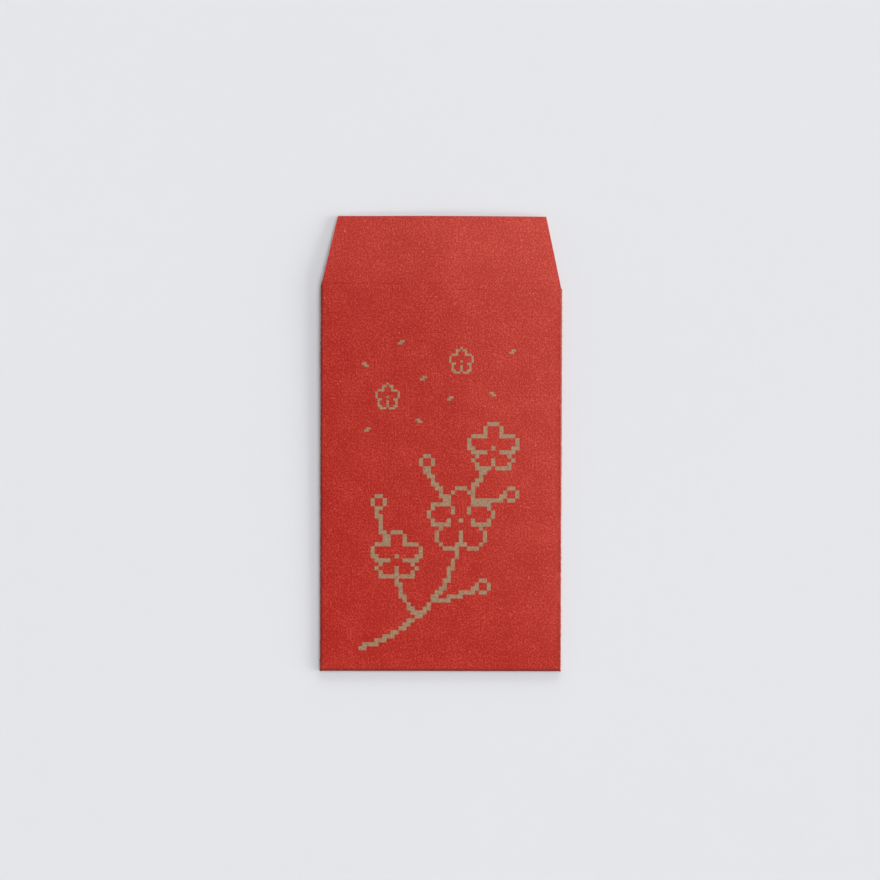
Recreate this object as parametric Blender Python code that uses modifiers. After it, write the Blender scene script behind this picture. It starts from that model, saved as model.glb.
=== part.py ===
"""Folded paper money envelope with a tapered top flap, at real size.

The envelope lies on its back, front face up, with its flap open. It is one die-cut sheet, creased,
folded round and glued: the back panels overlap in a centre seam and the bottom flap is glued over
them from outside. The sheet is modelled as separate panels and rounded folds that meet at the
creases, with the two glue lines between them. The pocket is thinnest at the bottom fold and gapes
towards its mouth, so the front panel leans and the side folds widen with it.

Metres, +Z up. X runs across the width, Y from the bottom fold to the flap, and the origin is
the middle of the whole outline on the surface that the envelope lies on.
"""

import math

import bmesh
import bpy
from mathutils import Vector

MM = 0.001

# Sheet, glue, and the air left between faces that touch
SHEET = 0.22 * MM
GLUE_FILM = 0.05 * MM
SEAT_GAP = 0.02 * MM

# Body
BODY_WIDTH = 65.0 * MM
BODY_LENGTH = 104.4 * MM  # bottom fold to flap crease
MOUTH_SETBACK = 1.2 * MM  # the back panels stop this far short of the crease
POCKET_AT_BOTTOM = 0.15 * MM  # inside depth over the centre seam
POCKET_AT_MOUTH = 0.9 * MM

# Back panels and their centre seam
SEAM_OVERLAP = 12.0 * MM
SEAM_STEP_RUN = 1.0 * MM  # length of the slope that lifts one panel over the other
SEAM_CORNER_RADIUS = 1.5 * MM
SEAM_GLUE_WIDTH = 5.0 * MM
SEAM_GLUE_END_MARGIN = 4.0 * MM

# Bottom flap
BOTTOM_FLAP_LENGTH = 13.0 * MM
BOTTOM_FLAP_TIP_WIDTH = 50.0 * MM
BOTTOM_FLAP_CORNER_RADIUS = 2.0 * MM
BOTTOM_GLUE_WIDTH = 4.0 * MM
BOTTOM_GLUE_LENGTH = 42.0 * MM
BOTTOM_GLUE_TIP_MARGIN = 2.0 * MM

# Top flap
FLAP_LENGTH = 18.2 * MM
FLAP_TIP_WIDTH = 56.0 * MM
FLAP_CORNER_RADIUS = 0.6 * MM
SHOULDER_INSET = 0.2 * MM  # the die cut starts this far inside the side fold
FLAP_DROOP = math.radians(3.0)

# Fineness of the round shapes
FOLD_SEGMENTS = 16
CORNER_SEGMENTS = 6

# Levels above the surface, from the outermost layer of the back to the front panel
BOND = GLUE_FILM + 2 * SEAT_GAP
BACK_LEVEL = SHEET + BOND
SEAM_RISE = SHEET + BOND
POCKET_FLOOR = BACK_LEVEL + SEAM_RISE + SHEET
FRONT_LOW = POCKET_FLOOR + POCKET_AT_BOTTOM
FRONT_HIGH = POCKET_FLOOR + POCKET_AT_MOUTH
BOTTOM_FOLD_RADIUS = (FRONT_LOW + SHEET) / 2

# The open flap's inner face is HINGE_REACH above the crease axis, so the closed flap's is as far
# below it, just behind the back panels
HINGE_REACH = (FRONT_HIGH - BACK_LEVEL + SEAT_GAP) / 2
HINGE_HEIGHT = FRONT_HIGH - HINGE_REACH

# Places along the length
FLAP_REACH = FLAP_LENGTH * math.cos(FLAP_DROOP) + (HINGE_REACH + SHEET) * math.sin(FLAP_DROOP)
BOTTOM_EDGE = -(BODY_LENGTH + FLAP_REACH) / 2
PANEL_START = BOTTOM_EDGE + BOTTOM_FOLD_RADIUS + SEAT_GAP
CREASE = BOTTOM_EDGE + BODY_LENGTH
MOUTH = CREASE - MOUTH_SETBACK

# Half widths of the die-cut outline that tapers from the mouth to the flap's free edge
HALF_WIDTH = BODY_WIDTH / 2
SHOULDER_HALF_WIDTH = HALF_WIDTH - SHOULDER_INSET
TAPER = (SHOULDER_HALF_WIDTH - FLAP_TIP_WIDTH / 2) / (MOUTH_SETBACK + FLAP_LENGTH)
CREASE_HALF_WIDTH = SHOULDER_HALF_WIDTH - MOUTH_SETBACK * TAPER

PAPER_RED = "B4372D"
GLUE_WHITE = "D9D2C2"


def linear(hex_colour):
    """The colour as linear RGBA, from its sRGB hex digits."""
    channels = [int(hex_colour[i : i + 2], 16) / 255 for i in (0, 2, 4)]
    return [c / 12.92 if c <= 0.04045 else ((c + 0.055) / 1.055) ** 2.4 for c in channels] + [1.0]


def paint(obj, hex_colour, roughness):
    material = bpy.data.materials.new(obj.name + "_finish")
    material.use_nodes = True
    surface = material.node_tree.nodes["Principled BSDF"]
    surface.inputs["Base Color"].default_value = linear(hex_colour)
    surface.inputs["Roughness"].default_value = roughness
    surface.inputs["Metallic"].default_value = 0.0
    obj.data.materials.append(material)


def add_object(name, data, collection, hex_colour=PAPER_RED, roughness=0.8):
    obj = bpy.data.objects.new(name, data)
    collection.objects.link(obj)
    paint(obj, hex_colour, roughness)
    return obj


def front_underside(y):
    """Height of the leaning front panel's inner face."""
    share = (y - PANEL_START) / (CREASE - PANEL_START)
    return FRONT_LOW + (FRONT_HIGH - FRONT_LOW) * share


def side_fold_radius(y):
    return (front_underside(y) + SHEET - BACK_LEVEL) / 2


def panel_half_width(y):
    """Half the width of the flat part between the two side folds."""
    return HALF_WIDTH - side_fold_radius(y) - SEAT_GAP


def rounded(corners):
    """Outline points from (x, y, radius) corners, each with an arc where it has a radius."""
    points = []
    places = [Vector((x, y)) for x, y, _ in corners]
    for i, (_, _, radius) in enumerate(corners):
        corner = places[i]
        to_last = (places[i - 1] - corner).normalized()
        to_next = (places[(i + 1) % len(places)] - corner).normalized()
        if radius == 0:
            points.append(corner)
            continue
        half_angle = to_last.angle(to_next) / 2
        reach = radius / math.tan(half_angle)
        centre = corner + (to_last + to_next).normalized() * radius / math.sin(half_angle)
        start = corner + to_last * reach - centre
        end = corner + to_next * reach - centre
        for step in range(CORNER_SEGMENTS + 1):
            points.append(centre + start.slerp(end, step / CORNER_SEGMENTS) * radius)
    return points


def flat_sheet(name, corners, thickness, collection, **finish):
    """A flat piece cut to an outline, half its thickness above and below its own origin."""
    curve = bpy.data.curves.new(name, "CURVE")
    curve.dimensions = "2D"
    curve.fill_mode = "BOTH"
    curve.extrude = thickness / 2
    points = rounded(corners)
    spline = curve.splines.new("POLY")
    spline.points.add(len(points) - 1)
    for target, point in zip(spline.points, points):
        target.co = (point.x, point.y, 0.0, 1.0)
    spline.use_cyclic_u = True
    return add_object(name, curve, collection, **finish)


def fold_section(centre, radius, outward):
    """The closed outline of a half-round bend of the sheet, open on its inner side."""
    up = Vector((0.0, 0.0, 1.0))
    angles = [math.pi * (i / FOLD_SEGMENTS - 0.5) for i in range(FOLD_SEGMENTS + 1)]
    outer = [centre + (outward * math.cos(a) + up * math.sin(a)) * radius for a in angles]
    inner = [p + (centre - p).normalized() * SHEET for p in reversed(outer)]
    return outer + inner


def fold_strip(name, ends, outward, collection):
    """A rounded fold lofted between two sections, each given by its centre and outer radius."""
    bm = bmesh.new()
    rims = []
    for centre, radius in ends:
        verts = [bm.verts.new(point) for point in fold_section(centre, radius, outward)]
        rims += [bm.edges.new(pair) for pair in zip(verts, verts[1:] + verts[:1])]
    bmesh.ops.bridge_loops(bm, edges=rims)
    bmesh.ops.holes_fill(bm, edges=rims, sides=0)
    bmesh.ops.recalc_face_normals(bm, faces=bm.faces)
    mesh = bpy.data.meshes.new(name)
    bm.to_mesh(mesh)
    bm.free()
    mesh.shade_smooth()
    mesh.set_sharp_from_angle(angle=math.radians(30))
    return add_object(name, mesh, collection)


def add_front_panel(collection):
    """The leaning front, with small shoulders that reach over the ends of the side folds."""
    lean = math.atan2(FRONT_HIGH - FRONT_LOW, CREASE - PANEL_START)
    shoulder = MOUTH + SEAT_GAP
    shoulder_half_width = SHOULDER_HALF_WIDTH - SEAT_GAP * TAPER
    side = [
        (panel_half_width(PANEL_START), PANEL_START),
        (panel_half_width(shoulder), shoulder),
        (shoulder_half_width, shoulder),
        (CREASE_HALF_WIDTH, CREASE),
    ]
    right = [(x, (y - PANEL_START) / math.cos(lean), 0) for x, y in side]
    left = [(-x, y, 0) for x, y, _ in reversed(right)]
    panel = flat_sheet("front_panel", right + left, SHEET, collection)
    panel.location = (0, PANEL_START, FRONT_LOW + SHEET / 2)
    panel.rotation_euler.x = lean


def add_top_flap(collection):
    """The flap that carries on from the front panel. It turns about the empty at the crease."""
    hinge = bpy.data.objects.new("flap_hinge", None)
    hinge.empty_display_size = 10 * MM
    hinge.location = (0, CREASE, HINGE_HEIGHT)
    hinge.rotation_euler.x = -FLAP_DROOP
    collection.objects.link(hinge)
    corners = [
        (CREASE_HALF_WIDTH, SEAT_GAP, 0),
        (FLAP_TIP_WIDTH / 2, FLAP_LENGTH, FLAP_CORNER_RADIUS),
        (-FLAP_TIP_WIDTH / 2, FLAP_LENGTH, FLAP_CORNER_RADIUS),
        (-CREASE_HALF_WIDTH, SEAT_GAP, 0),
    ]
    flap = flat_sheet("top_flap", corners, SHEET, collection)
    flap.parent = hinge
    flap.location.z = HINGE_REACH + SHEET / 2


def add_side_folds(collection):
    for name, side in (("left_fold", -1), ("right_fold", 1)):
        ends = []
        for y in (BOTTOM_EDGE, MOUTH):
            radius = side_fold_radius(y)
            ends.append((Vector((side * (HALF_WIDTH - radius), y, BACK_LEVEL + radius)), radius))
        fold_strip(name, ends, Vector((side, 0, 0)), collection)


def add_bottom_fold(collection):
    half_width = panel_half_width(PANEL_START)
    centre_y = BOTTOM_EDGE + BOTTOM_FOLD_RADIUS
    ends = [
        (Vector((x, centre_y, BOTTOM_FOLD_RADIUS)), BOTTOM_FOLD_RADIUS)
        for x in (-half_width, half_width)
    ]
    fold_strip("bottom_fold", ends, Vector((0, -1, 0)), collection)


def back_panel_corners(side):
    """The outline of one back panel, from its side fold to its free edge past the middle."""
    free_edge = -side * SEAM_OVERLAP / 2
    corners = [
        (side * panel_half_width(PANEL_START), PANEL_START, 0),
        (side * panel_half_width(MOUTH), MOUTH, 0),
        (free_edge, MOUTH, SEAM_CORNER_RADIUS),
        (free_edge, PANEL_START, 0),
    ]
    return corners if side < 0 else corners[::-1]


def add_right_back_panel(collection):
    """The outer panel of the seam, flat all over."""
    panel = flat_sheet("right_back_panel", back_panel_corners(1), SHEET, collection)
    panel.location.z = BACK_LEVEL + SHEET / 2


def add_left_back_panel(collection):
    """The inner panel of the seam, which steps up over the outer panel's free edge."""
    step_end = -SEAM_OVERLAP / 2 - SEAT_GAP
    step_start = step_end - SEAM_STEP_RUN
    bm = bmesh.new()
    for point in rounded(back_panel_corners(-1)):
        bm.verts.new((point.x, point.y, BACK_LEVEL))
    bmesh.ops.contextual_create(bm, geom=bm.verts)
    for x in (step_start, step_end):
        bmesh.ops.bisect_plane(
            bm, geom=bm.verts[:] + bm.edges[:] + bm.faces[:], plane_co=(x, 0, 0), plane_no=(1, 0, 0)
        )
    raised = [vert for vert in bm.verts if vert.co.x > step_end - SEAT_GAP]
    bmesh.ops.translate(bm, verts=raised, vec=(0, 0, SEAM_RISE))
    bmesh.ops.recalc_face_normals(bm, faces=bm.faces)
    mesh = bpy.data.meshes.new("left_back_panel")
    bm.to_mesh(mesh)
    bm.free()
    panel = add_object("left_back_panel", mesh, collection)
    wall = panel.modifiers.new("sheet", "SOLIDIFY")
    wall.thickness = SHEET
    wall.offset = 1.0
    wall.use_even_offset = True


def add_bottom_flap(collection):
    root_half_width = panel_half_width(PANEL_START)
    tip_half_width = BOTTOM_FLAP_TIP_WIDTH / 2
    tip = BOTTOM_EDGE + BOTTOM_FLAP_LENGTH
    corners = [
        (root_half_width, PANEL_START, 0),
        (tip_half_width, tip, BOTTOM_FLAP_CORNER_RADIUS),
        (-tip_half_width, tip, BOTTOM_FLAP_CORNER_RADIUS),
        (-root_half_width, PANEL_START, 0),
    ]
    flap = flat_sheet("bottom_flap", corners, SHEET, collection)
    flap.location.z = SHEET / 2


def glue_line(name, low, high, underside, collection):
    """A strip of dried glue between two sheets, from its low to its high corner."""
    corners = [(high[0], low[1], 0), (high[0], high[1], 0), (low[0], high[1], 0), (low[0], low[1], 0)]
    strip = flat_sheet(name, corners, GLUE_FILM, collection, hex_colour=GLUE_WHITE, roughness=0.4)
    strip.location.z = underside + SEAT_GAP + GLUE_FILM / 2


def add_glue(collection):
    half_width = SEAM_GLUE_WIDTH / 2
    low = (-half_width, PANEL_START + SEAM_GLUE_END_MARGIN)
    high = (half_width, MOUTH - SEAM_GLUE_END_MARGIN)
    glue_line("seam_glue", low, high, BACK_LEVEL + SHEET, collection)
    end = BOTTOM_EDGE + BOTTOM_FLAP_LENGTH - BOTTOM_GLUE_TIP_MARGIN
    low = (-BOTTOM_GLUE_LENGTH / 2, end - BOTTOM_GLUE_WIDTH)
    high = (BOTTOM_GLUE_LENGTH / 2, end)
    glue_line("bottom_flap_glue", low, high, SHEET, collection)


def main():
    for obj in list(bpy.data.objects):
        bpy.data.objects.remove(obj, do_unlink=True)
    collection = bpy.data.collections.new("money_envelope")
    bpy.context.scene.collection.children.link(collection)
    add_front_panel(collection)
    add_top_flap(collection)
    add_side_folds(collection)
    add_bottom_fold(collection)
    add_left_back_panel(collection)
    add_right_back_panel(collection)
    add_bottom_flap(collection)
    add_glue(collection)


main()
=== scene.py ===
"""The looks of a small red paper money envelope that lies on a pale table, seen from straight above.

The whole envelope is one folded sheet: a flat blank is laid out as a grid, trimmed to its die-cut
outline and folded round the pocket, so that its front, side folds, back panels and both flaps are one
unbroken skin of felt-marked paper. A small tan design is printed on its front.

Metres, +Z up. X runs across the width and Y from the bottom fold towards the open flap.
"""

import itertools
import math

import bmesh
import bpy
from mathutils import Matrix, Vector, noise


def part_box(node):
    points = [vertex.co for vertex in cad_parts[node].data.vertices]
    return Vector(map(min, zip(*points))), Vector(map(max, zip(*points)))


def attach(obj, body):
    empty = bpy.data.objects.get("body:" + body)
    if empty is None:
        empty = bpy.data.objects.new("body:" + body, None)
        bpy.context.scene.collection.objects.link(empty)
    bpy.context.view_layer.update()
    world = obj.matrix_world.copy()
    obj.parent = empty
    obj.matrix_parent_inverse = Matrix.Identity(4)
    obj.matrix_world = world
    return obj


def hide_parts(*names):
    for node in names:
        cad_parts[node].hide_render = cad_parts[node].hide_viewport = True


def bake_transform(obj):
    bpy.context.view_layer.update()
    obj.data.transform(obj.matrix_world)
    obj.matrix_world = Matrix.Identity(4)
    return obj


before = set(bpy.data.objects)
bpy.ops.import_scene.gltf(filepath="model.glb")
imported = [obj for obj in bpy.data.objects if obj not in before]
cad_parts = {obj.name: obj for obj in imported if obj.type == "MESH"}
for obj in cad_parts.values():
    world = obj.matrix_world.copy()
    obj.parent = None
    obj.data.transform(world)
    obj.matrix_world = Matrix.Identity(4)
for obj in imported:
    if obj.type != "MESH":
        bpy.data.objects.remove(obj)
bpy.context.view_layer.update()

MM = 0.001

# Sizes read from the frame
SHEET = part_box("bottom_flap")[1].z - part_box("bottom_flap")[0].z
HALF_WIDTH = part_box("right_fold")[1].x
BOTTOM_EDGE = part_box("right_fold")[0].y
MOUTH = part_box("right_fold")[1].y
PANEL_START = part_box("front_panel")[0].y
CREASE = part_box("front_panel")[1].y
FLAP_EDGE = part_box("top_flap")[1].y
FLAP_EDGE_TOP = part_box("top_flap")[0].z + SHEET
BACK_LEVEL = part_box("right_back_panel")[0].z
SEAM_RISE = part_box("left_back_panel")[1].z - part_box("right_back_panel")[1].z
SEAM_HALF_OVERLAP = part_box("left_back_panel")[1].x
FRONT_TOP_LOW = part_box("bottom_fold")[1].z
FRONT_TOP_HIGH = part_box("front_panel")[1].z
BOTTOM_FLAP_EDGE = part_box("bottom_flap")[1].y

# Die-cut outline, each side (-1 left, 1 right) measured from the middle of the body. The cut runs a
# little crooked
SHOULDER_INSET = {-1: 0.06 * MM, 1: 0.32 * MM}
FLAP_EDGE_HALF_WIDTH = {-1: 27.9 * MM, 1: 28.15 * MM}
BOTTOM_FLAP_TIP_HALF_WIDTH = 25.0 * MM
BOTTOM_FLAP_CORNER = 2.0 * MM
SEAM_CORNER = 1.5 * MM
SEAM_STEP_RUN = 1.0 * MM
LEFT_SHOULDER_SHIFT = 0.5 * MM  # the left shoulder is cut this much nearer to the flap
SHOULDER_SHIFT_REACH = 3.0 * MM
SHOULDER_SHIFT_START = 5.0 * MM  # from the left side, where the shift begins
SHOULDER_SHIFT_FULL = 0.5 * MM  # from the left side, where it is whole

# How the sheet springs: a soft ridge up the middle, sides that roll towards their folds,
# and a flap that bends down from a mouth that gapes
RIDGE_X = {"top": 0.6 * MM, "bottom": 15.0 * MM}
RIDGE_SOFTNESS = {"top": 3.5 * MM, "bottom": 10.0 * MM}
RIDGE_SLOPE = {"top": 0.030, "bottom": 0.020}
RIDGE_CHANGE = (0.25, 0.75)  # shares of the body's length where the ridge leaves "bottom" and is "top"
RIDGE_CLIMB = 0.35  # share of the body's length over which the ridge rises from the bottom fold
ROLL_SLOPE = 0.045
ROLL_REACH = 5.0 * MM
ROLL_CLIMB = 0.1  # share of the body's length over which the sides begin to roll
ROLL_FADE = 2 * ROLL_REACH  # length of the flap over which the roll of its left side dies away
MOUTH_LEVELLING = 24.0 * MM  # length before the crease over which the front stops climbing
MOUTH_SLOPE = -0.010
FLAP_ROOT_SLOPE = -0.026
CREASE_BUMP = 0.009 * MM
CREASE_BUMP_WIDTH = 0.45 * MM
CREASE_BUMP_BEFORE = 0.65 * MM  # the score lies this far before the line on which the flap turns

# Section of the folds, from 2 for a half round to more for a flatter side with tighter corners
FOLD_SQUARENESS = 3.2

# Roughness of the folds, which shows along the silhouette. The noise places keep its layers and the
# two sides apart
FELT_RELIEF = 0.11 * MM
FELT_GRAIN = 0.55 * MM
FINE_GRAIN_RATIO = 2.1
FINE_GRAIN_SHARE = 0.5
FOLD_WAVER = 0.05 * MM
FOLD_WAVER_LENGTH = 9.0 * MM
GRAIN_PLACE = 7.3
FINE_GRAIN_PLACE = 3.1
FINE_GRAIN_SHIFT = 11.0
WAVER_PLACE = 5.7

# Where the folds lie on the flat blank, and the distances from there at which the painted shade along
# them is whole and gone
BOTTOM_FOLD_LENGTH = math.pi * (FRONT_TOP_LOW - SHEET) / 2
BOTTOM_FOLD_MIDDLE = PANEL_START - BOTTOM_FOLD_LENGTH / 2
SIDE_FOLD_MIDDLE = 32.75 * MM  # on average, because the fold widens towards the mouth
FOLD_SHADE_FULL = 0.6 * MM
FOLD_SHADE_GONE = 1.2 * MM

# The paper's face, on the flat blank
FELT_MARK = 0.48 * MM
FELT_DEPTH = 0.042 * MM
FIBRE_SPACING = 0.9 * MM
FIBRE_CURL = 0.9 * MM  # how far a fibre swings to the side
FIBRE_CURL_LENGTH = 1.6 * MM
FIBRE_SHARE = 0.35  # how much a fibre adds to the marks
DYE_CLOUD = 7.0 * MM
DYE_CLOUD_SHARE = 0.25  # how much a cloud in the dye adds to them
SPECK_SPACING = 16.0 * MM
SPECK_RADIUS = 0.144 * MM

# Fineness of the grid that the blank is cut from
BODY_ROW = 0.30 * MM
CREASE_ROW = 0.10 * MM
CREASE_ROWS_REACH = 3 * CREASE_BUMP_WIDTH  # how far past the crease its close rows go on
FLAP_ROW = 0.9 * MM
FRONT_COLUMNS = 22
FOLD_COLUMNS_TO_SHOULDER = 5
FOLD_COLUMNS_BEYOND = 9
BACK_COLUMNS = 8
BOTTOM_FOLD_ROWS = 12
BOTTOM_FLAP_ROWS = 14
BOTTOM_CORNER_ROWS = 8
CORNER_ROW_GAP = 0.01  # least gap before the corners' rows, as a share of the bottom flap's length
WELD = 0.001 * MM  # points of neighbouring grids that are this close become one

# Print: a spray of blossoms and berries drawn in square cells, with loose small blossoms and petals in
# fine cells. All places are in cells from the middle of the width and of the whole length
CELL = 1.08 * MM
FINE_CELL = 0.6 * MM
INK_TOP = 0.014 * MM
INK_BOTTOM = -0.012 * MM
BLOSSOMS = (  # place, radius, petal's share of the radius
    (5, -19, 8.0, 0.36),
    (-11, -28, 6.0, 0.40),
    (13, -1, 6.0, 0.40),
)
BERRIES = ((17, -13), (-4, -5), (-16, -15), (10, -36))
TWIGS = (  # start, pull and end of each bend
    ((-20, -51), (-6, -46), (1, -35)),
    ((1, -35), (5, -26), (5, -20)),
    ((-5, -43), (-11, -39), (-11, -30)),
    ((5, -19), (8, -10), (13, -3)),
    ((4, -18), (0, -12), (-4, -6)),
    ((8, -14), (13, -14), (17, -13)),
    ((-12, -28), (-15, -22), (-16, -16)),
    ((-1, -39), (5, -38), (9, -36)),
)
FINE_BLOSSOMS = ((-24, 21, 5.5, 0.40), (9, 37, 5.5, 0.40))
FINE_PETALS = (  # place, and which way each leans
    (-34, 6, 1),
    (-11, 11, -1),
    (-35, 36, -1),
    (-9, 29, 1),
    (22, 23, -1),
    (-19, 45, 1),
    (31, 41, 1),
    (3, 20, 1),
)
PETALS = 5
LINE_HALF_WIDTH = 0.5  # of a drawn outline, in cells
BLOSSOM_HEART = 0.35  # share of the radius that stays free of the outline round the middle dot
BLOSSOM_COVER = 0.5  # share of the radius, round the middle, that hides a twig
BERRY_SPAN = (-1, 0, 1, 2)  # cells across a berry, from its place
TWIG_STEPS = 120

# Camera and light. A lamp's azimuth is 0 towards +X and 90 towards +Y. The low lamps stand off the
# diagonals, so that the paper doesn't glare when it is seen low from a corner
CAMERA_PLACE = (-3.74 * MM, 5.60 * MM, 462.2 * MM)
CAMERA_TILT = (-0.560, -0.427, 0.156)  # degrees about X, Y and Z
LENS = 70.0
FLOOR_SIZE = 100.0
FLOOR_GAP = 0.02 * MM  # below the envelope, so that the two never share a face
WORLD_SHARE = 0.10  # of the light on the table
LAMPS = (  # name, azimuth, elevation and breadth in degrees, share of the light on the table
    ("key_right", 0, 62, 26, 0.180),
    ("key_between", 45, 62, 26, 0.085),
    ("key_far", 90, 62, 26, 0.165),
    ("window_right", 0, 15, 28, 0.155),
    ("window_far", 70, 15, 28, 0.115),
    ("wall_far", 100, 15, 28, 0.055),
    ("left_wall", 180, 15, 28, 0.025),
    ("near_fill", 280, 45, 26, 0.050),
    ("near_low", 340, 15, 28, 0.065),
)


def linear(hex_colour):
    """The colour as linear RGBA, from its sRGB hex digits."""
    channels = [int(hex_colour[i : i + 2], 16) / 255 for i in (0, 2, 4)]
    return [c / 12.92 if c <= 0.04045 else ((c + 0.055) / 1.055) ** 2.4 for c in channels] + [1.0]


def add_node(tree, kind, inputs=None, **settings):
    """A node with its settings, and its sockets linked to other sockets or set to values."""
    node = tree.nodes.new(kind)
    for name, value in settings.items():
        setattr(node, name, value)
    for socket, value in (inputs or {}).items():
        if isinstance(value, bpy.types.NodeSocket):
            tree.links.new(value, node.inputs[socket])
        else:
            node.inputs[socket].default_value = value
    return node


def new_material(name):
    """A material with its node tree and its Principled surface."""
    material = bpy.data.materials.new(name)
    material.use_nodes = True
    return material, material.node_tree, material.node_tree.nodes["Principled BSDF"]


def per_metre(size):
    """The scale that gives a pattern features of this size."""
    return 1.0 / size


def add_object(name, data, *materials):
    """An object with this data and these materials, added to the scene."""
    made = bpy.data.objects.new(name, data)
    bpy.context.scene.collection.objects.link(made)
    for material in materials:
        data.materials.append(material)
    return made


def finished_mesh(bm, name):
    """The bmesh as a mesh. The bmesh is freed."""
    mesh = bpy.data.meshes.new(name)
    bm.to_mesh(mesh)
    bm.free()
    return mesh


# Materials


def fold_nearness(tree, coordinate, middle):
    """1 in the middle of a fold and 0 on the flat sheet beside it."""
    off = add_node(
        tree, "ShaderNodeMath", {0: coordinate, 1: middle}, operation="SUBTRACT"
    ).outputs["Value"]
    distance = add_node(tree, "ShaderNodeMath", {0: off}, operation="ABSOLUTE").outputs["Value"]
    return add_node(
        tree, "ShaderNodeMapRange",
        {"Value": distance, "From Min": FOLD_SHADE_GONE, "From Max": FOLD_SHADE_FULL},
    ).outputs["Result"]


def felt_paper(name):
    """Uncoated paper dyed in the pulp, its face marked by pressing with a felt. The felt leaves fine
    curly marks about half a millimetre wide, long fibres and thin spots in the dye lie paler among them,
    and a few pale specks are left. So the red is mottled at arm's length. The face is matt, with a broad
    soft sheen towards the light that is a little stronger on the paler, smoother marks. Along the folds
    the red is darkened with painted shade, mottled, which tones down the light that the rounded folds
    catch."""
    material, tree, surface = new_material(name)
    deep_red, pale_red = linear("AA0000"), linear("CD3D31")
    # The dark red for the folds is painted shade
    speck_red, fold_shade_red = linear("D9776A"), linear("5A0A06")
    uv = add_node(tree, "ShaderNodeUVMap", uv_map="blank").outputs["UV"]
    cloud = add_node(
        tree, "ShaderNodeTexNoise", {"Vector": uv, "Scale": per_metre(DYE_CLOUD), "Detail": 2.0},
        noise_dimensions="2D",
    ).outputs["Fac"]
    mottle = add_node(
        tree, "ShaderNodeTexNoise",
        {"Vector": uv, "Scale": per_metre(FELT_MARK), "Detail": 2.0, "Roughness": 0.6},
        noise_dimensions="2D",
    ).outputs["Fac"]
    bend = add_node(
        tree, "ShaderNodeTexNoise", {"Vector": uv, "Scale": per_metre(FIBRE_CURL_LENGTH), "Detail": 1.0},
        noise_dimensions="2D",
    ).outputs["Color"]
    bent = add_node(
        tree, "ShaderNodeVectorMath", {0: bend, 1: (FIBRE_CURL, FIBRE_CURL, 0.0), 2: uv},
        operation="MULTIPLY_ADD",
    ).outputs["Vector"]
    fibre = add_node(
        tree, "ShaderNodeTexNoise",
        {"Vector": bent, "Scale": per_metre(FIBRE_SPACING), "Detail": 1.0, "Gain": 1.0, "Offset": 0.9},
        noise_dimensions="2D", noise_type="RIDGED_MULTIFRACTAL",
    ).outputs["Fac"]
    fibre_line = add_node(
        tree, "ShaderNodeMapRange", {"Value": fibre, "From Min": 0.7, "From Max": 1.1}
    ).outputs["Result"]
    marks = add_node(
        tree, "ShaderNodeMath", {0: fibre_line, 1: FIBRE_SHARE, 2: mottle}, operation="MULTIPLY_ADD"
    ).outputs["Value"]
    shade = add_node(
        tree, "ShaderNodeMath", {0: cloud, 1: DYE_CLOUD_SHARE, 2: marks}, operation="MULTIPLY_ADD"
    ).outputs["Value"]
    spread = add_node(
        tree, "ShaderNodeMapRange", {"Value": shade, "From Min": 0.60, "From Max": 0.97}
    ).outputs["Result"]
    dye = add_node(
        tree, "ShaderNodeMix", {0: spread, 6: deep_red, 7: pale_red}, data_type="RGBA"
    ).outputs[2]
    cell = add_node(
        tree, "ShaderNodeTexVoronoi", {"Vector": uv, "Scale": per_metre(SPECK_SPACING)},
        voronoi_dimensions="2D",
    ).outputs["Distance"]
    speck = add_node(
        tree, "ShaderNodeMath", {0: cell, 1: SPECK_RADIUS / SPECK_SPACING}, operation="LESS_THAN"
    ).outputs["Value"]
    speckled = add_node(
        tree, "ShaderNodeMix", {0: speck, 6: dye, 7: speck_red}, data_type="RGBA"
    ).outputs[2]
    place = add_node(tree, "ShaderNodeSeparateXYZ", {"Vector": uv}).outputs
    from_middle = add_node(
        tree, "ShaderNodeMath", {0: place["X"]}, operation="ABSOLUTE"
    ).outputs["Value"]
    side_fold = fold_nearness(tree, from_middle, SIDE_FOLD_MIDDLE)
    bottom_fold = fold_nearness(tree, place["Y"], BOTTOM_FOLD_MIDDLE)
    fold = add_node(
        tree, "ShaderNodeMath", {0: side_fold, 1: bottom_fold}, operation="MAXIMUM"
    ).outputs["Value"]
    # Painted shade: the red darkens towards the middle of each fold, mottled, to tone down the light that
    # the rounded folds catch
    painted_fold_shade = add_node(
        tree, "ShaderNodeMath", {0: fold, 1: mottle}, operation="MULTIPLY"
    ).outputs["Value"]
    folded = add_node(
        tree, "ShaderNodeMix", {0: painted_fold_shade, 6: speckled, 7: fold_shade_red}, data_type="RGBA"
    ).outputs[2]
    tree.links.new(folded, surface.inputs["Base Color"])
    rough = add_node(
        tree, "ShaderNodeMapRange", {"Value": marks, "To Min": 0.50, "To Max": 0.38}
    ).outputs["Result"]
    tree.links.new(rough, surface.inputs["Roughness"])
    bump = add_node(
        tree, "ShaderNodeBump", {"Height": marks, "Distance": FELT_DEPTH, "Strength": 1.0}
    ).outputs["Normal"]
    tree.links.new(bump, surface.inputs["Normal"])
    surface.inputs["Specular IOR Level"].default_value = 0.85
    surface.inputs["Specular Tint"].default_value = (1.0, 0.58, 0.44, 1.0)
    return material


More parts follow.
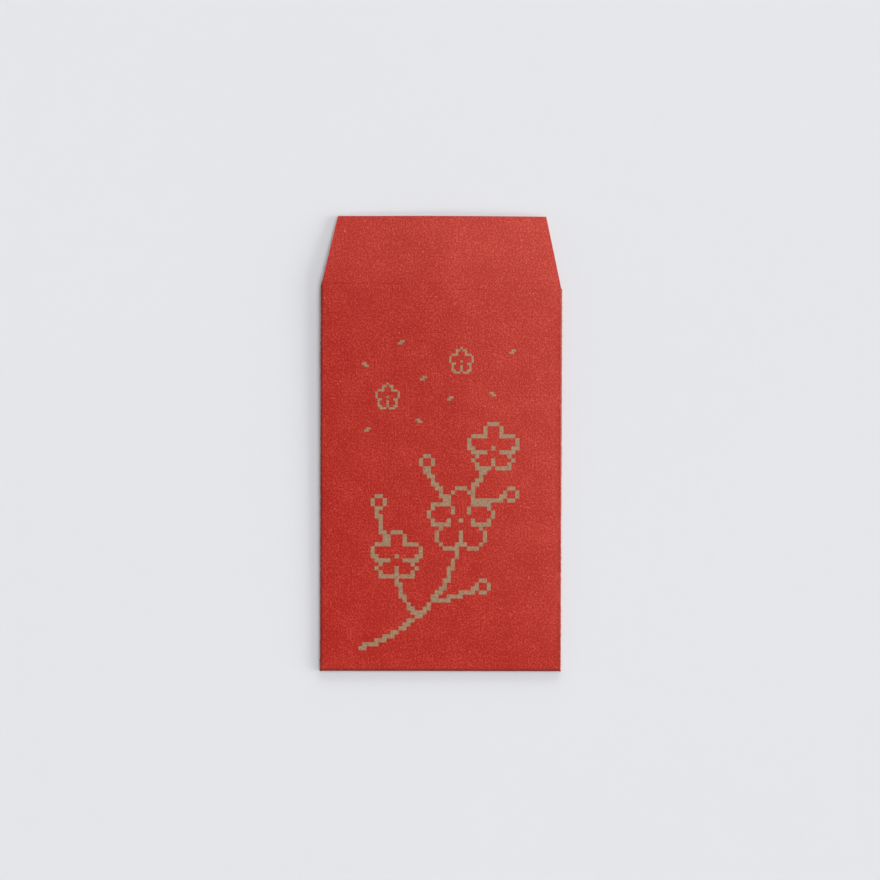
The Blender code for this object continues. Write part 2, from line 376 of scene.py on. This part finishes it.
def cut_edge_paper(name):
    """The die-cut edge of the sheet. The dye has soaked right through, and the torn fibre ends stand
    out as pale and dark flecks, so the edge looks a touch rougher and paler than the face."""
    material, tree, surface = new_material(name)
    deep_red, pale_red = linear("A81A10"), linear("CE5244")
    place = add_node(tree, "ShaderNodeTexCoord").outputs["Object"]
    fibre_ends = add_node(
        tree, "ShaderNodeTexNoise", {"Vector": place, "Scale": per_metre(0.12 * MM), "Detail": 2.0}
    ).outputs["Fac"]
    share = add_node(
        tree, "ShaderNodeMapRange", {"Value": fibre_ends, "From Min": 0.35, "From Max": 0.65}
    ).outputs["Result"]
    dye = add_node(
        tree, "ShaderNodeMix", {0: share, 6: deep_red, 7: pale_red}, data_type="RGBA"
    ).outputs[2]
    tree.links.new(dye, surface.inputs["Base Color"])
    bump = add_node(
        tree, "ShaderNodeBump", {"Height": fibre_ends, "Distance": 0.02 * MM}
    ).outputs["Normal"]
    tree.links.new(bump, surface.inputs["Normal"])
    surface.inputs["Roughness"].default_value = 0.75
    return material


def matt_ink(name):
    """Matt tan ink printed on rough paper: an opaque film that follows the felt marks. It is darker
    where it lies thin over the hollows, and the red shows through in tiny spots that the ink
    missed."""
    material, tree, surface = new_material(name)
    thin_tan, full_tan, bare_red = linear("86694C"), linear("AE9070"), linear("B5392B")
    place = add_node(tree, "ShaderNodeTexCoord").outputs["Object"]
    felt = add_node(
        tree, "ShaderNodeTexNoise",
        {"Vector": place, "Scale": per_metre(0.5 * MM), "Detail": 2.0, "Roughness": 0.6},
    ).outputs["Fac"]
    fine = add_node(
        tree, "ShaderNodeTexNoise", {"Vector": place, "Scale": per_metre(0.25 * MM), "Detail": 1.0}
    ).outputs["Fac"]
    load = add_node(
        tree, "ShaderNodeMapRange", {"Value": felt, "From Min": 0.3, "From Max": 0.7}
    ).outputs["Result"]
    film = add_node(
        tree, "ShaderNodeMix", {0: load, 6: thin_tan, 7: full_tan}, data_type="RGBA"
    ).outputs[2]
    missed = add_node(
        tree, "ShaderNodeMapRange",
        {"Value": fine, "From Min": 0.30, "From Max": 0.36, "To Min": 0.8, "To Max": 0.0},
    ).outputs["Result"]
    printed = add_node(
        tree, "ShaderNodeMix", {0: missed, 6: film, 7: bare_red}, data_type="RGBA"
    ).outputs[2]
    tree.links.new(printed, surface.inputs["Base Color"])
    rough = add_node(
        tree, "ShaderNodeMapRange", {"Value": felt, "To Min": 0.5, "To Max": 0.6}
    ).outputs["Result"]
    tree.links.new(rough, surface.inputs["Roughness"])
    bump = add_node(tree, "ShaderNodeBump", {"Height": felt, "Distance": 0.03 * MM}).outputs["Normal"]
    tree.links.new(bump, surface.inputs["Normal"])
    return material


def dried_glue(name):
    """Dried white paste: a thin yellowish white skin, glossier where it pooled and dull where the paper
    drank it, with small bubbles."""
    material, tree, surface = new_material(name)
    thin_paste, thick_paste = linear("CFC6B2"), linear("E4DFD2")
    place = add_node(tree, "ShaderNodeTexCoord").outputs["Object"]
    pools = add_node(
        tree, "ShaderNodeTexNoise", {"Vector": place, "Scale": per_metre(2.5 * MM), "Detail": 3.0}
    ).outputs["Fac"]
    skin = add_node(
        tree, "ShaderNodeMix", {0: pools, 6: thin_paste, 7: thick_paste}, data_type="RGBA"
    ).outputs[2]
    tree.links.new(skin, surface.inputs["Base Color"])
    rough = add_node(
        tree, "ShaderNodeMapRange", {"Value": pools, "To Min": 0.6, "To Max": 0.3}
    ).outputs["Result"]
    tree.links.new(rough, surface.inputs["Roughness"])
    bubbles = add_node(
        tree, "ShaderNodeTexVoronoi", {"Vector": place, "Scale": per_metre(0.8 * MM)}
    ).outputs["Distance"]
    bump = add_node(tree, "ShaderNodeBump", {"Height": bubbles, "Distance": 0.02 * MM}).outputs["Normal"]
    tree.links.new(bump, surface.inputs["Normal"])
    return material


def matt_table(name):
    """Smooth matt table top in a cool near white, so even that only a faint cloud of tone shows."""
    material, tree, surface = new_material(name)
    grey_white, clear_white = linear("E4E5E9"), linear("E6E7EB")
    place = add_node(tree, "ShaderNodeTexCoord").outputs["Object"]
    cloud = add_node(
        tree, "ShaderNodeTexNoise", {"Vector": place, "Scale": per_metre(120 * MM), "Detail": 2.0}
    ).outputs["Fac"]
    tone = add_node(
        tree, "ShaderNodeMix", {0: cloud, 6: grey_white, 7: clear_white}, data_type="RGBA"
    ).outputs[2]
    tree.links.new(tone, surface.inputs["Base Color"])
    surface.inputs["Roughness"].default_value = 0.8
    return material


# The sheet's shape


def blend_share(value, start, end):
    """0 before start, 1 after end, and smooth between them."""
    share = min(max((value - start) / (end - start), 0.0), 1.0)
    return share * share * (3 - 2 * share)


def between(low, high, share):
    """The value that lies this share of the way from low to high."""
    return low + (high - low) * share


def front_climb():
    """How steeply the front's outer face climbs towards the crease at its side folds."""
    return (FRONT_TOP_HIGH - FRONT_TOP_LOW) / (CREASE - PANEL_START)


def front_top(y):
    """Height of the front's outer face at its side folds, from the bottom fold to the crease."""
    return FRONT_TOP_LOW + front_climb() * (y - PANEL_START)


def fold_radius(y):
    """Half the outer depth of a side fold."""
    return (front_top(min(y, MOUTH)) - BACK_LEVEL) / 2


def fold_line(y):
    """Where the flat part of the front ends and its side fold begins."""
    return HALF_WIDTH - fold_radius(y)


def levelled(y):
    """Extra height of the front near the mouth, where it stops climbing before the crease."""
    start = CREASE - MOUTH_LEVELLING
    if y <= start:
        return 0.0
    share = (y - start) / MOUTH_LEVELLING
    change = front_climb() - MOUTH_SLOPE
    return change * MOUTH_LEVELLING * share * share * (1 - share)


def flap_drop(distance):
    """How far the open flap's outer face lies below the crease, at this distance past it."""
    length = FLAP_EDGE - CREASE
    total = FRONT_TOP_HIGH - FLAP_EDGE_TOP
    bend = 2 * (total + FLAP_ROOT_SLOPE * length) / (length * length)
    return -FLAP_ROOT_SLOPE * distance + bend * distance * distance / 2


def crown(x, y):
    """Height that the sheet's spring adds above the flat front or flap: nothing at its sides."""
    along = min(max((y - PANEL_START) / (CREASE - PANEL_START), 0.0), 1.0)
    ridge_x = between(RIDGE_X["bottom"], RIDGE_X["top"], along)
    ridge = blend_share(along, *RIDGE_CHANGE)
    softness = between(RIDGE_SOFTNESS["bottom"], RIDGE_SOFTNESS["top"], ridge)
    slope = between(RIDGE_SLOPE["bottom"], RIDGE_SLOPE["top"], ridge)
    slope *= blend_share(along, 0.0, RIDGE_CLIMB)
    side = outline_half_width(y, 1 if x > 0 else -1) if y > CREASE else fold_line(y)
    right, left = math.hypot(side - ridge_x, softness), math.hypot(side + ridge_x, softness)
    level = between(left, right, 0.5 + x / side / 2)
    tent = slope * (level - math.hypot(x - ridge_x, softness))
    reach = max(side - abs(x), 0.0)
    roll = ROLL_SLOPE * ROLL_REACH * (1 - math.exp(-reach / ROLL_REACH))
    roll *= blend_share(along, 0.0, ROLL_CLIMB)
    roll *= 1 - blend_share(y, CREASE, CREASE + ROLL_FADE) * blend_share(-x, 0.0, side)
    return max(tent, 0.0) + roll


def crease_mark(y):
    """The scored line: a slight swelling just before the crease and a groove just past it."""
    place = (y - CREASE + CREASE_BUMP_BEFORE) / CREASE_BUMP_WIDTH
    return -CREASE_BUMP * place * math.exp(0.5 - place * place / 2)


def outer_face(x, y):
    """Height of the front's or the open flap's outer face."""
    if y > CREASE:
        return FRONT_TOP_HIGH - flap_drop(y - CREASE) + crown(x, y) + crease_mark(y)
    return front_top(y) + levelled(y) + crown(x, y) + crease_mark(y)


def outline_half_width(y, side):
    """Half width of the die cut that tapers from the mouth to the flap's free edge."""
    shoulder = HALF_WIDTH - SHOULDER_INSET[side]
    share = (y - MOUTH) / (FLAP_EDGE - MOUTH)
    return between(shoulder, FLAP_EDGE_HALF_WIDTH[side], share)


def shoulder_angle(y, side):
    """How far round the side fold the sheet reaches at the die cut."""
    reach = (outline_half_width(max(y, MOUTH), side) - fold_line(MOUTH)) / fold_radius(MOUTH)
    return math.asin(min(reach, 1.0))


def squared(angle):
    """The section of a fold on a unit circle, drawn out towards a square: its reach at this angle."""
    power = FOLD_SQUARENESS
    return (abs(math.sin(angle)) ** power + abs(math.cos(angle)) ** power) ** (-1 / power)


def fold_roughness(angle, y, side):
    """How far the felt's relief and the fold's waver push the side fold out."""
    place = Vector((y, angle * fold_radius(y), 0.0)) / FELT_GRAIN
    grain = noise.noise(place + Vector((0.0, 0.0, side * GRAIN_PLACE)))
    fine_place = Vector((0.0, 0.0, side * FINE_GRAIN_PLACE + FINE_GRAIN_SHIFT))
    fine = noise.noise(place * FINE_GRAIN_RATIO + fine_place)
    waver = noise.noise(Vector((y / FOLD_WAVER_LENGTH, side * WAVER_PLACE, 0.0)))
    fade = math.sin(angle)
    return fade * (FELT_RELIEF * (grain + FINE_GRAIN_SHARE * fine) + FOLD_WAVER * waver)


def side_of(station):
    """-1 for a column on the left of the front's middle and 1 for one on its right."""
    return -1 if station < 0 else 1


def cut_station(side):
    """The column at which the die cut above the mouth meets the side fold."""
    return 1 + shoulder_angle(MOUTH, side) / math.pi


def stations(side):
    """The grid's columns on one side, from the middle of the front round to the back's free edge:
    0 to 1 is the front, 1 to 2 the side fold and 2 to 3 the back."""
    cut = cut_station(side)
    front = [i / FRONT_COLUMNS for i in range(FRONT_COLUMNS)]
    fold_near = [between(1, cut, i / FOLD_COLUMNS_TO_SHOULDER) for i in range(FOLD_COLUMNS_TO_SHOULDER)]
    fold_far = [between(cut, 2, i / FOLD_COLUMNS_BEYOND) for i in range(FOLD_COLUMNS_BEYOND)]
    back = [2 + i / BACK_COLUMNS for i in range(BACK_COLUMNS + 1)]
    return front + fold_near + fold_far + back


def back_free_edge(y):
    """X of a back panel's free edge, measured towards its own side, round its corner at the mouth."""
    into_corner = max(y - (MOUTH - SEAM_CORNER), 0.0)
    return -SEAM_HALF_OVERLAP + SEAM_CORNER - math.sqrt(max(SEAM_CORNER**2 - into_corner**2, 0.0))


def back_level(x, side):
    """Height of the back's middle surface. At the seam the left panel steps up into the pocket, and
    the right one runs on below it."""
    step_start = -SEAM_HALF_OVERLAP - SEAM_STEP_RUN
    rise = SEAM_RISE * blend_share(x, step_start, -SEAM_HALF_OVERLAP) if side < 0 else 0.0
    return BACK_LEVEL + SHEET / 2 + rise


def place_above_mouth(station, y):
    """A point of the sheet's middle surface between the mouth and the flap's free edge. Up to the
    crease the ends of the side folds open out into the flap."""
    side = side_of(station)
    along = abs(station)
    x = side * outline_half_width(y, side) * share_to_cut(station)
    flat = Vector((x, y, outer_face(x, y) - SHEET / 2))
    if y > CREASE:
        return flat
    middle = fold_radius(y) - SHEET / 2
    front_x = fold_line(y) * min(along, 1.0)
    angle = max(along - 1, 0.0) / (cut_station(side) - 1) * shoulder_angle(y, side)
    curled_x = side * (front_x + middle * squared(angle) * math.sin(angle))
    curl = middle * (1 - squared(angle) * math.cos(angle))
    curled = Vector((curled_x, y, outer_face(side * front_x, y) - SHEET / 2 - curl))
    return curled.lerp(flat, blend_share(y, MOUTH, CREASE))


def place_body(station, y):
    """A point of the sheet's middle surface in the front, a side fold, the back or the open flap."""
    if y > MOUTH:
        return place_above_mouth(station, y)
    side = side_of(station)
    along = abs(station)
    line = fold_line(y)
    if along <= 1:
        x = side * line * along
        return Vector((x, y, outer_face(x, y) - SHEET / 2))
    if along <= 2:
        radius = fold_radius(y)
        angle = (along - 1) * math.pi
        reach = (radius - SHEET / 2) * squared(angle) + fold_roughness(angle, y, side)
        lift = levelled(y) * (1 + math.cos(angle)) / 2
        height = BACK_LEVEL + radius + reach * math.cos(angle) + lift
        return Vector((side * (line + reach * math.sin(angle)), y, height))
    x = between(line, back_free_edge(y), along - 2) * side
    return Vector((x, y, back_level(x, side)))


def shoulder_shift(x, y):
    """How far the crooked cut moves the sheet round the left shoulder."""
    near = 1 - blend_share(abs(y - MOUTH), 0.0, SHOULDER_SHIFT_REACH)
    across = blend_share(-x, HALF_WIDTH - SHOULDER_SHIFT_START, HALF_WIDTH - SHOULDER_SHIFT_FULL)
    return LEFT_SHOULDER_SHIFT * near * across


def share_to_cut(station):
    """How far across the sheet a column lies at the mouth, as a share of the way to the die cut."""
    return abs(flat_length(station, MOUTH)) / flat_length(cut_station(side_of(station)), MOUTH)


def flat_length(station, y):
    """How far round the sheet a point lies from the middle of the front."""
    along = abs(station)
    if y > MOUTH:
        side = side_of(station)
        return side * outline_half_width(y, side) * share_to_cut(station)
    line = fold_line(y)
    round_fold = math.pi * (fold_radius(y) - SHEET / 2)
    back = line + SEAM_HALF_OVERLAP
    length = line * min(along, 1) + round_fold * min(max(along - 1, 0), 1) + back * max(along - 2, 0)
    return math.copysign(length, station)


def body_on_blank(station, y):
    """Where a point of the body or the top flap lies on the flat blank."""
    return (flat_length(station, y), y, 0.0)


def place_bottom(station, row):
    """A point of the bottom fold, for rows from 0 to 1, and of the bottom flap beyond it, up to 2."""
    outer = FRONT_TOP_LOW / 2
    root = fold_line(PANEL_START)
    if row <= 1:
        angle = row * math.pi
        reach = (outer - SHEET / 2) * squared(angle)
        y = PANEL_START - reach * math.sin(angle)
        return Vector((root * station, y, outer + reach * math.cos(angle)))
    y = between(PANEL_START, BOTTOM_FLAP_EDGE, row - 1)
    half_width = between(root, BOTTOM_FLAP_TIP_HALF_WIDTH, row - 1)
    into_corner = max(y - (BOTTOM_FLAP_EDGE - BOTTOM_FLAP_CORNER), 0.0)
    half_width -= BOTTOM_FLAP_CORNER - math.sqrt(max(BOTTOM_FLAP_CORNER**2 - into_corner**2, 0.0))
    return Vector((half_width * station, y, SHEET / 2))


def bottom_on_blank(station, row):
    """Where a point of the bottom fold or the bottom flap lies on the flat blank."""
    flap_length = BOTTOM_FLAP_EDGE - PANEL_START
    past = BOTTOM_FOLD_LENGTH * min(row, 1) + flap_length * max(row - 1, 0)
    return (fold_line(PANEL_START) * station, PANEL_START - past, 0.0)


def rows_between(start, end, spacing):
    """Evenly spaced rows from start up to, not including, end."""
    count = max(1, round(abs(end - start) / spacing))
    return [between(start, end, i / count) for i in range(count)]


def rows_above_mouth():
    """Rows from the mouth to the flap's free edge, closer up to the crease and just past it."""
    before = rows_between(MOUTH, CREASE, CREASE_ROW)
    past = rows_between(CREASE, CREASE + CREASE_ROWS_REACH, CREASE_ROW)
    return before + past + rows_between(CREASE + CREASE_ROWS_REACH, FLAP_EDGE, FLAP_ROW) + [FLAP_EDGE]


def rows_of_bottom():
    """Rows round the bottom fold and along the bottom flap, closer round the flap's corners."""
    bend = [i / BOTTOM_FOLD_ROWS for i in range(BOTTOM_FOLD_ROWS)]
    corner_start = 2 - BOTTOM_FLAP_CORNER / (BOTTOM_FLAP_EDGE - PANEL_START)
    plain = [between(1, 2, i / BOTTOM_FLAP_ROWS) for i in range(BOTTOM_FLAP_ROWS)]
    turns = [i / BOTTOM_CORNER_ROWS * math.pi / 2 for i in range(BOTTOM_CORNER_ROWS + 1)]
    corner = [between(corner_start, 2, math.sin(turn)) for turn in turns]
    return bend + [row for row in plain if row < corner_start - CORNER_ROW_GAP] + corner


def grid_of(bm, columns, rows, place, keep, on_blank=None):
    """A grid with a column and a row at each given value: each point goes where place says, and faces
    that keep refuses are waste and are cut away. on_blank, if given, notes each point's place on the
    flat blank."""
    made = bmesh.ops.create_grid(bm, x_segments=len(columns) - 1, y_segments=len(rows) - 1, size=0.5)
    index = {}
    for vert in made["verts"]:
        column = round((vert.co.x + 0.5) * (len(columns) - 1))
        row = round((vert.co.y + 0.5) * (len(rows) - 1))
        index[vert] = (columns[column], rows[row])
    faces = {face for vert in made["verts"] for face in vert.link_faces}
    waste = []
    for face in faces:
        middle = [sum(index[vert][i] for vert in face.verts) / len(face.verts) for i in (0, 1)]
        if not keep(*middle):
            waste.append(face)
    for vert, (column, row) in index.items():
        vert.co = place(column, row)
    if on_blank:
        layer = bm.verts.layers.float_vector["blank"]
        for vert, (column, row) in index.items():
            vert[layer] = on_blank(column, row)
    bmesh.ops.delete(bm, geom=waste, context="FACES")


def unfolded_uv(bm):
    """Turns each point's place on the flat blank into the sheet's UV map, so that the felt's marks run
    on over the folds."""
    layer = bm.verts.layers.float_vector["blank"]
    uv = bm.loops.layers.uv.new("blank")
    for face in bm.faces:
        for loop in face.loops:
            loop[uv].uv = loop.vert[layer].xy
    bm.verts.layers.float_vector.remove(layer)


def fold_the_sheet():
    """The envelope's whole sheet, cut from its flat blank and folded."""
    bm = bmesh.new()
    bm.verts.layers.float_vector.new("blank")
    columns = [-station for station in reversed(stations(-1))][:-1] + stations(1)
    front_columns = [station for station in columns if abs(station) <= 1]
    body_rows = rows_between(PANEL_START, MOUTH, BODY_ROW) + [MOUTH]
    fold_end_rows = [BOTTOM_EDGE, (BOTTOM_EDGE + PANEL_START) / 2, PANEL_START]

    def everywhere(station, row):
        return True

    def inside_cut(station, row):
        return abs(station) < cut_station(side_of(station))

    def in_side_fold(station, row):
        return 1 < abs(station) < 2

    grid_of(bm, columns, body_rows, place_body, everywhere, body_on_blank)
    grid_of(bm, columns, rows_above_mouth(), place_body, inside_cut, body_on_blank)
    grid_of(bm, columns, fold_end_rows, place_body, in_side_fold, body_on_blank)
    grid_of(bm, front_columns, rows_of_bottom(), place_bottom, everywhere, bottom_on_blank)
    bmesh.ops.remove_doubles(bm, verts=bm.verts, dist=WELD)
    bmesh.ops.recalc_face_normals(bm, faces=bm.faces)
    for edge in bm.edges:
        edge.smooth = not edge.is_boundary
    for face in bm.faces:
        face.smooth = True
    for vert in bm.verts:
        vert.co.y += shoulder_shift(vert.co.x, vert.co.y)
    unfolded_uv(bm)
    face_paper = felt_paper("dyed_felt_marked_paper")
    edge_paper = cut_edge_paper("die_cut_paper_edge")
    sheet = add_object("paper_sheet", finished_mesh(bm, "paper_sheet"), face_paper, edge_paper)
    wall = sheet.modifiers.new("thickness", "SOLIDIFY")
    wall.thickness = SHEET
    wall.offset = 0.0
    wall.material_offset_rim = 1
    return sheet


# The print


def blossom(column, row, size, share):
    """Cells of a five-petalled blossom's outline with its dot, and the cells that the outline holds."""
    petal = share * size
    reach = size - petal
    angles = [math.radians(90 + 360 / PETALS * i) for i in range(PETALS)]
    outline = {(column, row)}
    held = set()
    span = range(-math.ceil(size) - 1, math.ceil(size) + 2)
    for across, up in itertools.product(span, span):
        cell = (column + across, row + up)
        middle = math.hypot(across, up)
        from_petals = [math.hypot(across - reach * math.cos(a), up - reach * math.sin(a)) for a in angles]
        gap = min(from_petals) - petal
        if gap <= LINE_HALF_WIDTH or middle <= BLOSSOM_COVER * size:
            held.add(cell)
        if -LINE_HALF_WIDTH < gap <= LINE_HALF_WIDTH and middle > BLOSSOM_HEART * size:
            outline.add(cell)
    return outline, held


def berry(column, row):
    """Cells of a round berry's ring, and the cells that it holds."""
    rim = (BERRY_SPAN[0], BERRY_SPAN[-1])
    ring, held = set(), set()
    for across, up in itertools.product(BERRY_SPAN, BERRY_SPAN):
        held.add((column + across, row + up))
        if (across in rim) != (up in rim):
            ring.add((column + across, row + up))
    return ring, held


def twig(start, pull, end):
    """Cells along a bent twig."""
    cells = set()
    for i in range(TWIG_STEPS + 1):
        share = i / TWIG_STEPS
        x = between(between(start[0], pull[0], share), between(pull[0], end[0], share), share)
        y = between(between(start[1], pull[1], share), between(pull[1], end[1], share), share)
        cells.add((round(x), round(y)))
    return cells


def loose_petal(column, row, lean):
    """Cells of a loose petal."""
    return {(column, row), (column + 1, row), (column + 1, row + lean), (column + 2, row + lean)}


def print_cells(bm, cells, cell):
    """A skin of ink on these cells of the front."""
    columns = range(min(column for column, row in cells), max(column for column, row in cells) + 2)
    rows = range(min(row for column, row in cells), max(row for column, row in cells) + 2)
    grid_of(
        bm,
        [(column - 0.5) * cell for column in columns],
        [(row - 0.5) * cell for row in rows],
        lambda x, y: Vector((x, y, outer_face(x, y) + INK_TOP)),
        lambda x, y: (round(x / cell), round(y / cell)) in cells,
    )


def part_corners(bm):
    """Parts cells that touch only at a corner, so that the film round each of them closes."""
    for vert in list(bm.verts):
        if len(vert.link_faces) == 2 and len(vert.link_edges) == 4:
            own_edges = [edge for edge in vert.link_faces[0].edges if vert in edge.verts]
            bmesh.utils.vert_separate(vert, own_edges)


def print_the_front():
    """The tan design on the front."""
    bm = bmesh.new()
    spray = set().union(*(twig(*bend) for bend in TWIGS))
    for drawn, held in [blossom(*place) for place in BLOSSOMS] + [berry(*place) for place in BERRIES]:
        spray = spray - held | drawn
    print_cells(bm, spray, CELL)
    scatter = set().union(*(loose_petal(*place) for place in FINE_PETALS))
    for place in FINE_BLOSSOMS:
        scatter |= blossom(*place)[0]
    print_cells(bm, scatter, FINE_CELL)
    part_corners(bm)
    bmesh.ops.recalc_face_normals(bm, faces=bm.faces)
    bmesh.ops.solidify(bm, geom=bm.faces[:], thickness=INK_TOP - INK_BOTTOM)
    bmesh.ops.recalc_face_normals(bm, faces=bm.faces)
    ink = add_object("printed_ink", finished_mesh(bm, "printed_ink"), matt_ink("matt_tan_ink"))
    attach(ink, "pocket")


# Camera, light and floor


def add_floor():
    """The table top that the envelope lies on."""
    bm = bmesh.new()
    bmesh.ops.create_grid(bm, x_segments=1, y_segments=1, size=FLOOR_SIZE / 2)
    bmesh.ops.translate(bm, verts=bm.verts, vec=(0, 0, -FLOOR_GAP))
    floor = add_object("table_top", finished_mesh(bm, "table_top"), matt_table("matt_table_top"))


def add_camera():
    """The camera, which looks straight down but for a slight tilt."""
    camera = add_object("camera", bpy.data.cameras.new("camera"))
    camera.data.lens = LENS
    camera.location = CAMERA_PLACE
    camera.rotation_euler = [math.radians(angle) for angle in CAMERA_TILT]
    bpy.context.scene.camera = camera


def add_lamp(name, azimuth, elevation, breadth, share):
    """A soft lamp, wide and far away, that gives this share of the light that falls on the table."""
    turn = math.radians(azimuth)
    lift = math.radians(elevation)
    towards = Vector((math.cos(turn) * math.cos(lift), math.sin(turn) * math.cos(lift), math.sin(lift)))
    lamp = add_object(name, bpy.data.lights.new(name, "SUN"))
    lamp.data.angle = math.radians(breadth)
    lamp.data.energy = share * math.pi / math.sin(lift)
    lamp.location = towards
    lamp.rotation_euler = towards.to_track_quat("Z", "Y").to_euler()


def add_lights():
    """Even white light from all round, and the lamps."""
    world = bpy.data.worlds.new("studio")
    bpy.context.scene.world = world
    world.use_nodes = True
    background = world.node_tree.nodes["Background"]
    background.inputs["Color"].default_value = (1, 1, 1, 1)
    background.inputs["Strength"].default_value = WORLD_SHARE
    for lamp in LAMPS:
        add_lamp(*lamp)


view = bpy.context.scene.view_settings
view.view_transform = "Standard"

sheet = fold_the_sheet()
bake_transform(sheet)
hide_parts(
    "front_panel", "top_flap", "left_fold", "right_fold", "left_back_panel", "right_back_panel",
    "bottom_fold", "bottom_flap",
)
print_the_front()

glue = dried_glue("dried_white_glue")
for name in ("seam_glue", "bottom_flap_glue"):
    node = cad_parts[name]
    node.data.materials.clear()
    node.data.materials.append(glue)

add_floor()
add_camera()
add_lights()
